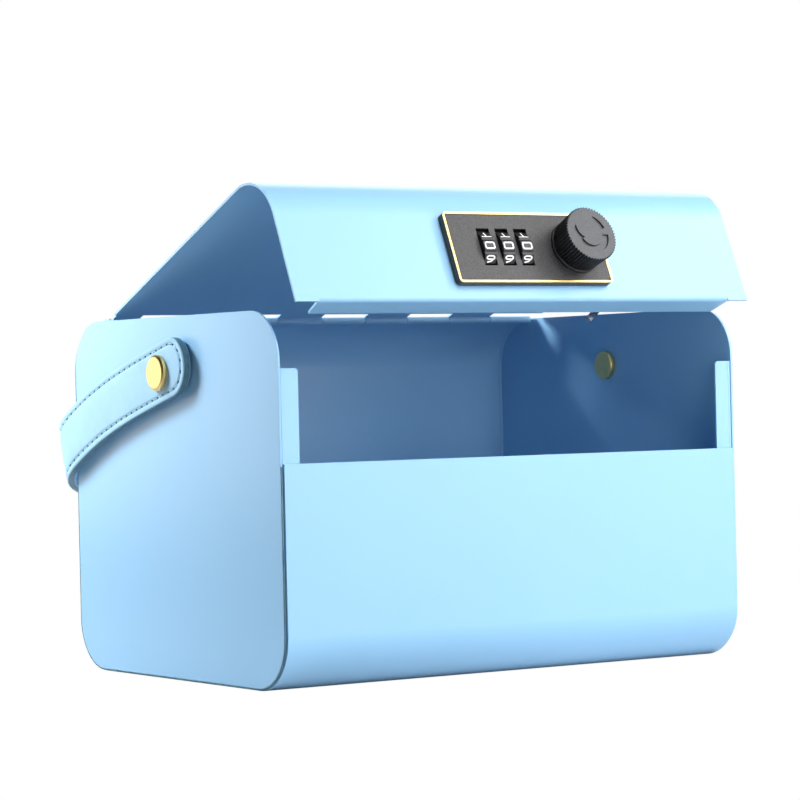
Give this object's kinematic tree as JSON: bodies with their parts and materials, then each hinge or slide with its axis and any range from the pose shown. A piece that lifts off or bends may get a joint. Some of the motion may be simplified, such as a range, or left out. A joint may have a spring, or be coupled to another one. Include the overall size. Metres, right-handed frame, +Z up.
{
  "type": "medication lock box",
  "caption": "Lockable medication box of folded, painted sheet metal with an open front window, a hinged lid, a dial lock with a turning knob on its flap, and a leather strap handle.",
  "frame": {"origin": "middle of the box's base, on the surface that it stands on", "axes": "+X along the box's length towards the knob's end, -Y towards the front window and the lock, +Z up"},
  "size_m": [0.2552, 0.2337, 0.2119],
  "materials": {
    "paint": "satin",
    "strap_leather": "satin",
    "gold": "polished",
    "lock_black": "matte",
    "steel": "satin"
  },
  "bodies": {
    "case": {"case_wrap": "paint", "left_side_panel": "paint", "right_side_panel": "paint", "left_end_frame": "paint", "right_end_frame": "paint", "left_pivot_rivet": "gold", "right_pivot_rivet": "gold", "left_pivot_washer": "steel", "right_pivot_washer": "steel", "left_pivot_nut": "gold", "right_pivot_nut": "gold", "lock_keeper": "steel", "hinge_case_leaf": "paint", "hinge_pin": "steel"},
    "lid": {"lid_shell": "paint", "hinge_lid_leaf": "paint", "lock_body": "lock_black", "lock_border": "gold", "lock_rear_cover": "lock_black", "cover_screw_1": "steel", "cover_screw_2": "steel", "dial_axle": "steel", "detent_spring": "steel", "sleeve_nut": "steel"},
    "dial_1": {"dial_wheel_1": "lock_black"},
    "dial_2": {"dial_wheel_2": "lock_black"},
    "dial_3": {"dial_wheel_3": "lock_black"},
    "knob": {"lock_knob": "lock_black", "knob_spindle": "steel", "lock_hook": "steel", "hook_screw": "steel"},
    "handle": {"handle_strap": "strap_leather"}
  },
  "joints": [
    {"name": "lid_hinge", "type": "hinge", "parent": "case", "child": "lid", "pos_m": [0, 0.061, 0.1579], "axis": [-1, 0, 0], "range_deg": [-23.5, 81.5]},
    {"name": "handle_swing", "type": "hinge", "parent": "case", "child": "handle", "pos_m": [0, 0.002, 0.134], "axis": [1, 0, 0], "range_deg": [0, 110]},
    {"name": "dial_1_turn", "type": "hinge", "parent": "lid", "child": "dial_1", "pos_m": [-0.0195, -0.09155, 0.18148], "axis": [1, 0, 0], "continuous": true},
    {"name": "dial_2_turn", "type": "hinge", "parent": "lid", "child": "dial_2", "pos_m": [-0.00975, -0.09155, 0.18148], "axis": [1, 0, 0], "continuous": true},
    {"name": "dial_3_turn", "type": "hinge", "parent": "lid", "child": "dial_3", "pos_m": [0, -0.09155, 0.18148], "axis": [1, 0, 0], "continuous": true},
    {"name": "knob_turn", "type": "hinge", "parent": "lid", "child": "knob", "pos_m": [0.027, -0.09797, 0.18428], "axis": [0, 0.9171, -0.3987], "range_deg": [0, 90]}
  ]
}
